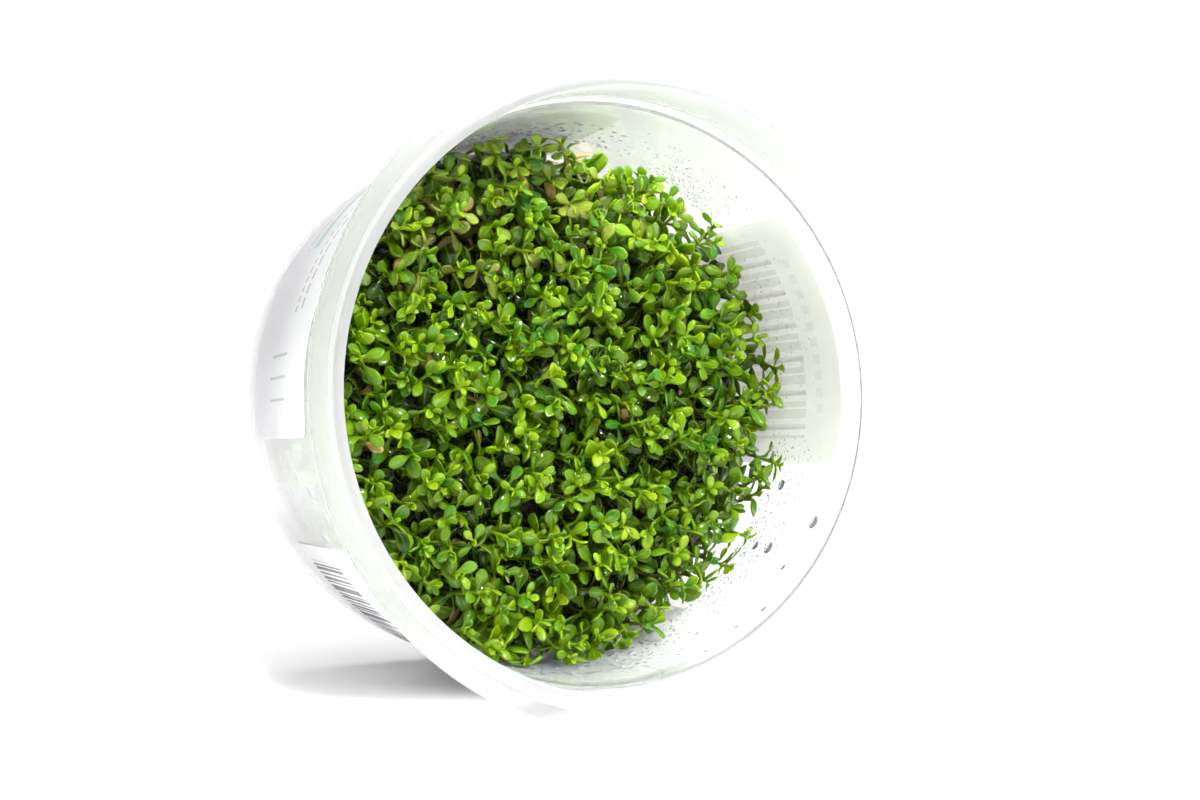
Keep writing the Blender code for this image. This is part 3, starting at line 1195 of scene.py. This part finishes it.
drops = {
    # angle from and to, depth from and to, number, smallest and largest radius
    "fog": (
        (-66.0, -10.0, 26.0, 42.0, 1500, 0.09, 0.22),
        (38.0, 66.0, 24.0, 42.0, 700, 0.08, 0.18),
        (-20.0, 40.0, 26.0, 43.0, 700, 0.07, 0.15),
        (60.0, 130.0, 26.0, 42.0, 700, 0.10, 0.5),
        (-124.0, -58.0, 15.0, 40.0, 1800, 0.09, 0.34),
        (185.0, 232.0, 24.0, 44.0, 120, 0.15, 0.55),
        (232.0, 300.0, 22.0, 40.0, 260, 0.12, 0.4),
    ),
    # angle, depth and radius of the large ones
    "large": (
        (-30.0, 21.8, 1.1), (-36.9, 31.5, 1.0), (-22.0, 36.2, 0.9), (-36.6, 36.1, 0.8),
        (-41.0, 23.5, 0.5), (-52.0, 19.0, 0.5), (-58.0, 21.0, 0.45), (196.0, 30.0, 0.9),
        (202.0, 26.0, 0.8), (207.0, 33.0, 0.7), (193.0, 36.0, 0.8), (214.0, 28.0, 0.9),
    ),
    "flat": 0.42,
    "sink": 0.1,
    "batch": 40,
}


def addDrop(shape, angle, depth, radius, divisions):
    height = tub["height"] - depth
    wall = insideRadius(height)
    start = len(shape.verts)
    bmesh.ops.create_icosphere(shape, subdivisions=divisions, radius=radius)
    shape.verts.ensure_lookup_table()
    around = math.radians(angle)
    out = wall - drops["sink"] * radius
    matrix = Matrix.Rotation(around, 4, "Z") @ Matrix.Translation((out, 0.0, height))
    matrix = matrix @ Matrix.Diagonal((drops["flat"], 1.0, 1.0, 1.0))
    bmesh.ops.transform(shape, matrix=matrix, verts=shape.verts[start:])


def makeDrops():
    dice = random.Random(5)
    shape, group, grouped = bmesh.new(), bmesh.new(), 0
    for fromAngle, toAngle, fromDepth, toDepth, count, smallest, largest in drops["fog"]:
        for _ in range(count):
            angle = dice.triangular(fromAngle, toAngle)
            depth = dice.triangular(fromDepth, toDepth, toDepth)
            size = smallest + (largest - smallest) * dice.random() ** 3
            addDrop(group, angle, depth, size, 1)
            grouped += 1
            if grouped % drops["batch"] == 0:
                mergeInto(shape, group)
                group = bmesh.new()
    for angle, depth, size in drops["large"]:
        addDrop(group, angle, depth, size, 3)
    mergeInto(shape, group)
    print("drops made,", len(shape.faces), "faces")
    finishPiece("waterDrops", shape, water)


makeDrops()


# Floor, world and lamps

studio = {
    "floorRadius": 9.0,
    "floorColour": (0.9, 0.9, 0.9, 1.0),
    # the world's strength: as light from the left and the right, as the backdrop, through clear
    # pieces to the side and to the front, and in reflections of the front and of the side
    "lightLeft": 0.82,
    "lightRight": 0.48,
    "cameraStrength": 1.3,
    "throughStrength": 1.03,
    "throughFront": 0.97,
    "glossFront": 0.12,
    "glossSide": 0.56,
    "sunStrength": 2.6,
    "sunFrom": (0.36, 0.04, 1.0),
    "sunSize": 50.0,
    "fillPower": 6.4,
    "fillFrom": (0.05, -0.55, 0.60),
    "fillSize": 0.15,
}


def makeFloor():
    shape = bmesh.new()
    bmesh.ops.create_circle(shape, cap_ends=True, segments=96, radius=studio["floorRadius"])
    mesh = bpy.data.meshes.new("floor")
    shape.to_mesh(mesh)
    shape.free()
    material, tree, shader = newMaterial("paleFloor", {"Base Color": studio["floorColour"]})
    grain = useGroup(tree, "grain", {
        "Vector": objectCoords(tree), "Scale": 60.0, "Rough Low": 0.55, "Rough High": 0.7,
    })
    tree.links.new(grain.outputs["Roughness"], shader.inputs["Roughness"])
    mesh.materials.append(material)
    floor = bpy.data.objects.new("floor", mesh)
    scene.collection.objects.link(floor)


def makeWorld():
    world = bpy.data.worlds.new("paleStudio")
    world.use_nodes = True
    tree = world.node_tree
    background = tree.nodes["Background"]
    direction = addNode(tree, "ShaderNodeTexCoord").outputs["Generated"]
    split = addNode(tree, "ShaderNodeSeparateXYZ", {"Vector": direction})
    path = addNode(tree, "ShaderNodeLightPath")
    right, back = split.outputs["X"], split.outputs["Y"]
    light = mapRange(tree, right, -0.8, 0.8, studio["lightLeft"], studio["lightRight"])
    through = mapRange(
        tree, back, -0.2, -0.95, studio["throughStrength"], studio["throughFront"],
    )
    gloss = mapRange(tree, back, -0.5, -0.05, studio["glossFront"], studio["glossSide"])
    strength = mixNumbers(tree, path.outputs["Is Glossy Ray"], light, gloss)
    strength = mixNumbers(tree, path.outputs["Is Transmission Ray"], strength, through)
    strength = mixNumbers(tree, path.outputs["Is Camera Ray"], strength, studio["cameraStrength"])
    tree.links.new(strength, background.inputs["Strength"])
    background.inputs["Color"].default_value = (1.0, 1.0, 1.0, 1.0)
    scene.world = world


def makeLamp(name, kind, come, settings):
    data = bpy.data.lights.new(name, kind)
    for key, value in settings.items():
        setattr(data, key, value)
    thing = bpy.data.objects.new(name, data)
    scene.collection.objects.link(thing)
    thing.location = come
    aim = Vector((0.0, 0.0, 0.045)) - Vector(come)
    thing.rotation_mode = "QUATERNION"
    thing.rotation_quaternion = aim.to_track_quat("-Z", "Y")


makeFloor()
makeWorld()
makeLamp("keySun", "SUN", studio["sunFrom"], {
    "energy": studio["sunStrength"], "angle": math.radians(studio["sunSize"]),
})
makeLamp("frontFill", "AREA", studio["fillFrom"], {
    "energy": studio["fillPower"], "size": studio["fillSize"],
})
scene.view_settings.view_transform = "Standard"
scene.view_settings.look = "None"
print("studio made")
